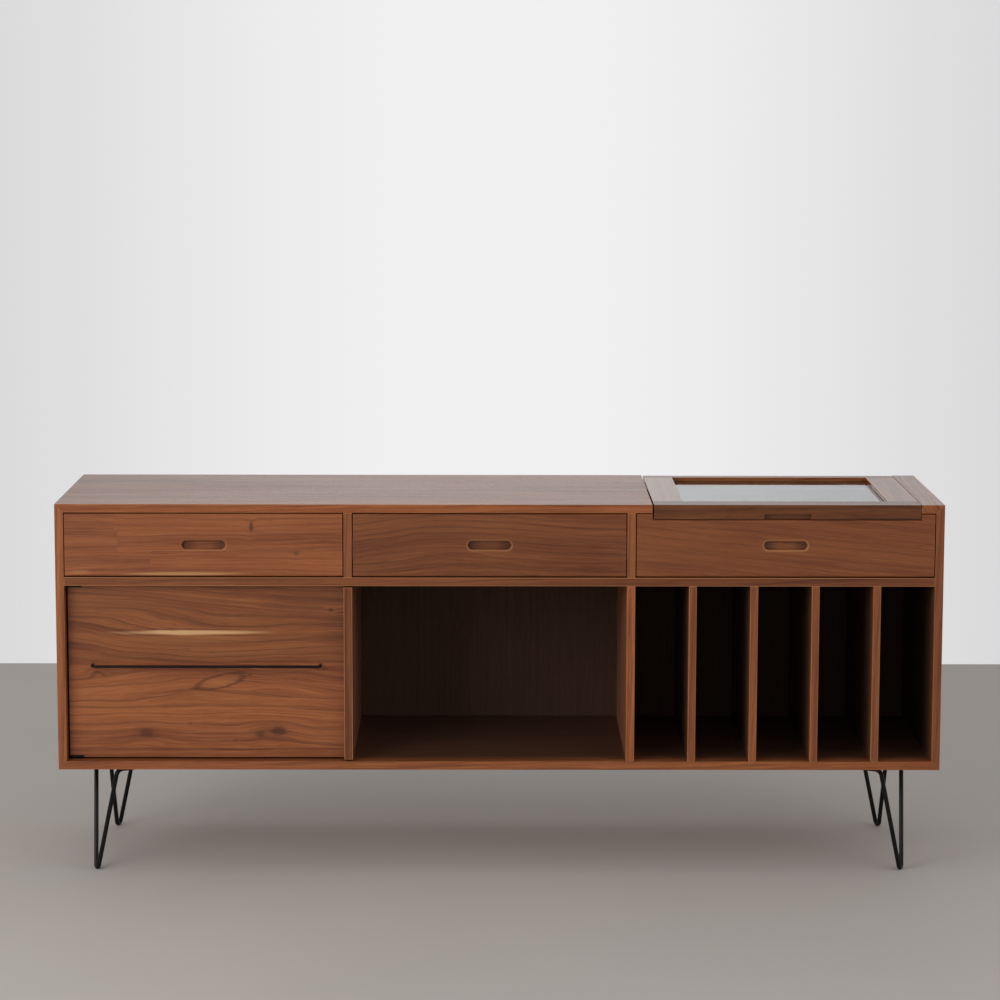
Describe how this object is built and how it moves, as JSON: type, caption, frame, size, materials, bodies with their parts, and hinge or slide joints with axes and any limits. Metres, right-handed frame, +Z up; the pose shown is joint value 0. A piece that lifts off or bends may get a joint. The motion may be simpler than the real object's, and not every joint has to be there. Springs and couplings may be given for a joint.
{
  "type": "record cabinet",
  "caption": "Long low wooden record cabinet on hairpin legs with drawers, a hinged door, an open bay, upright record slots and a glazed lid over a pull-out turntable drawer.",
  "frame": {"origin": "on the floor under the middle of the case", "axes": "+Z up, +X along the case to the lid's end, the front faces -Y"},
  "size_m": [1.78, 0.46, 0.759],
  "materials": {
    "case_wood": "satin oiled acacia",
    "drawer_wood": "plain sealed hardwood",
    "back_plywood": "stained veneered plywood",
    "black_steel": "satin black powder coat",
    "screw_steel": "black oxide",
    "slide_steel": "zinc plated",
    "hinge_brass": "satin",
    "glass": "clear",
    "catch_plastic": "matt"
  },
  "bodies": {
    "case": {"side_left": "case_wood", "side_right": "case_wood", "top_panel": "case_wood", "top_strip_right": "case_wood", "bottom_panel": "case_wood", "mid_shelf": "case_wood", "upper_divider_left": "case_wood", "upper_divider_right": "case_wood", "lower_divider_left": "case_wood", "lower_divider_right": "case_wood", "record_divider_1": "case_wood", "record_divider_2": "case_wood", "record_divider_3": "case_wood", "record_divider_4": "case_wood", "back_panel": "back_plywood", "lid_rests": "case_wood", "lid_hinge_rail": "case_wood", "lid_hinge_lower_leaves": "hinge_brass", "door_hinge_plates": "black_steel", "door_catch": "catch_plastic", "drawer_left_runners": "slide_steel", "drawer_middle_runners": "slide_steel", "drawer_right_runners": "slide_steel", "hairpin_leg_front_left": "black_steel", "hairpin_leg_front_right": "black_steel", "hairpin_leg_rear_left": "black_steel", "hairpin_leg_rear_right": "black_steel", "leg_plates": "black_steel", "leg_screws": "screw_steel"},
    "door": {"door_bottom_strip": "case_wood", "door_lower_board": "case_wood", "door_upper_board": "case_wood", "door_edge_batten": "case_wood", "door_strike_plate": "slide_steel", "door_hinge_leaves": "black_steel", "door_handle_bar": "black_steel", "door_handle_screws": "screw_steel"},
    "lid": {"lid_front_rail": "case_wood", "lid_left_stile": "case_wood", "lid_right_stile": "case_wood", "lid_back_rail": "case_wood", "lid_glass": "glass", "lid_glass_stops": "case_wood", "lid_hinge_upper_leaves": "hinge_brass"},
    "drawer_left": {"drawer_left_front": "case_wood", "drawer_left_sides": "drawer_wood", "drawer_left_back": "drawer_wood", "drawer_left_bottom": "drawer_wood", "drawer_left_slides": "slide_steel"},
    "drawer_middle": {"drawer_middle_front": "case_wood", "drawer_middle_sides": "drawer_wood", "drawer_middle_back": "drawer_wood", "drawer_middle_bottom": "drawer_wood", "drawer_middle_slides": "slide_steel"},
    "drawer_right": {"drawer_right_front": "case_wood", "drawer_right_sides": "drawer_wood", "drawer_right_back": "drawer_wood", "drawer_right_bottom": "drawer_wood", "drawer_right_slides": "slide_steel"}
  },
  "joints": [
    {"name": "door_hinge", "type": "hinge", "parent": "case", "child": "door", "pos_m": [-0.859, -0.198, 0.4145], "axis": [0, 0, -1], "range_deg": [0, 90]},
    {"name": "lid_hinge", "type": "hinge", "parent": "case", "child": "lid", "pos_m": [0.5754, 0.227, 0.72975], "axis": [-1, 0, 0], "range_deg": [0, 95]},
    {"name": "drawer_left_slide", "type": "slide", "parent": "case", "child": "drawer_left", "axis": [0, -1, 0], "range_m": [0, 0.28]},
    {"name": "drawer_middle_slide", "type": "slide", "parent": "case", "child": "drawer_middle", "axis": [0, -1, 0], "range_m": [0, 0.28]},
    {"name": "drawer_right_slide", "type": "slide", "parent": "case", "child": "drawer_right", "axis": [0, -1, 0], "range_m": [0, 0.28]}
  ]
}
